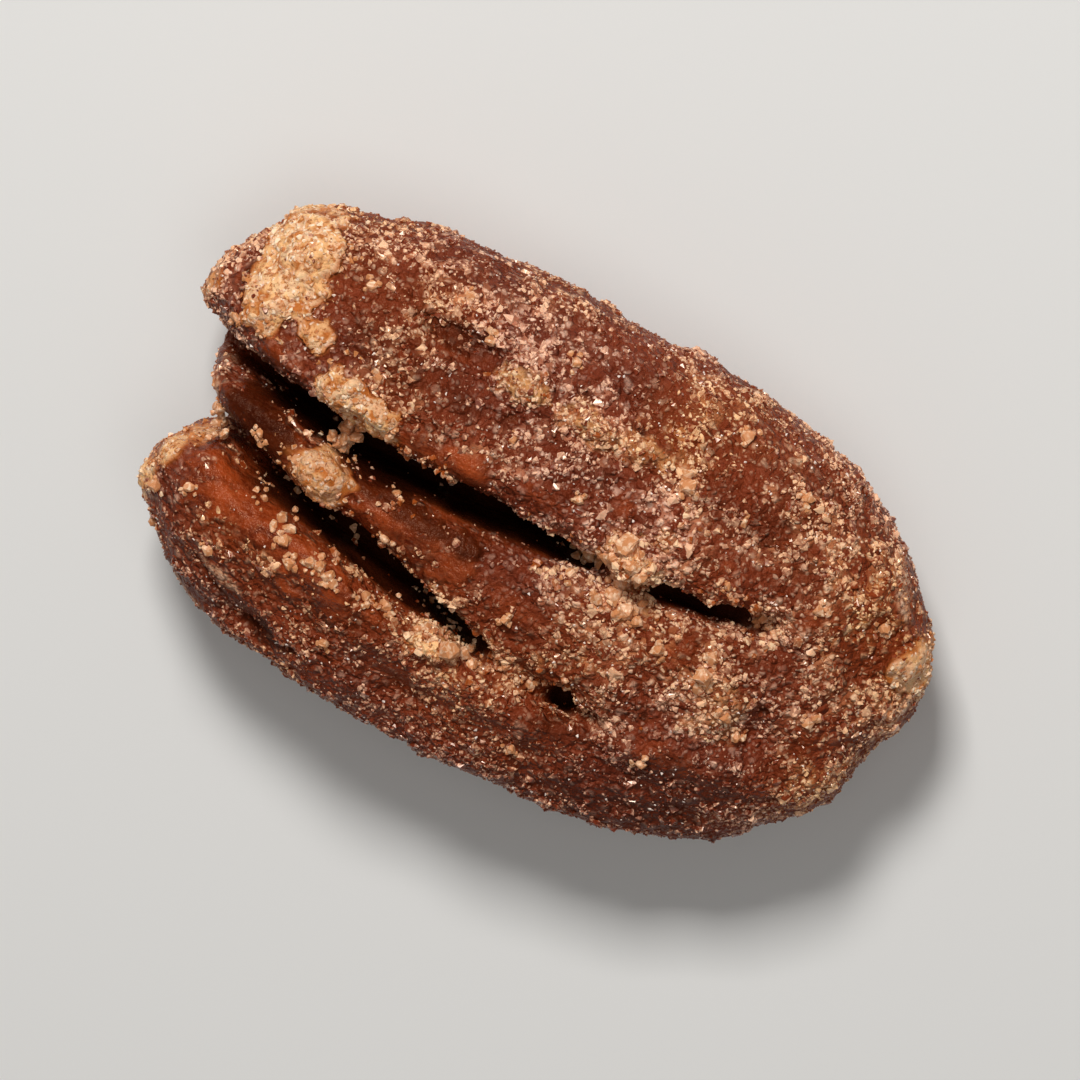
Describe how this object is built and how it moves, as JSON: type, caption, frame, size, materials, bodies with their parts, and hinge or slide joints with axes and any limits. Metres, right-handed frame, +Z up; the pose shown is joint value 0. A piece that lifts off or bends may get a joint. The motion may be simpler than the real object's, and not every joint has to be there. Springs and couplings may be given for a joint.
{
  "type": "maple glazed pecan half",
  "caption": "A pecan half with long grooves along its domed back, coated in crusted sugar glaze, lying on its hollowed flat side.",
  "frame": {"origin": "centre of the bounding box's bottom, on the plane the nut half rests on", "axes": "+Z up out of the domed, grooved back; +X along the length, towards the nose of the fused tip; +Y towards the fuller lobe"},
  "size_m": [0.0312, 0.0186, 0.0095],
  "materials": {
    "glazed_nut": "red-brown nut skin under a thin cooked sugar glaze, frosted with fine pale crystals and cakes of cream sugar",
    "sugar": "cooked sugar crystals, clear to cream and pale tan, with small bright facets"
  },
  "bodies": {
    "root": {"glazed_pecan": "glazed_nut"}
  },
  "joints": []
}
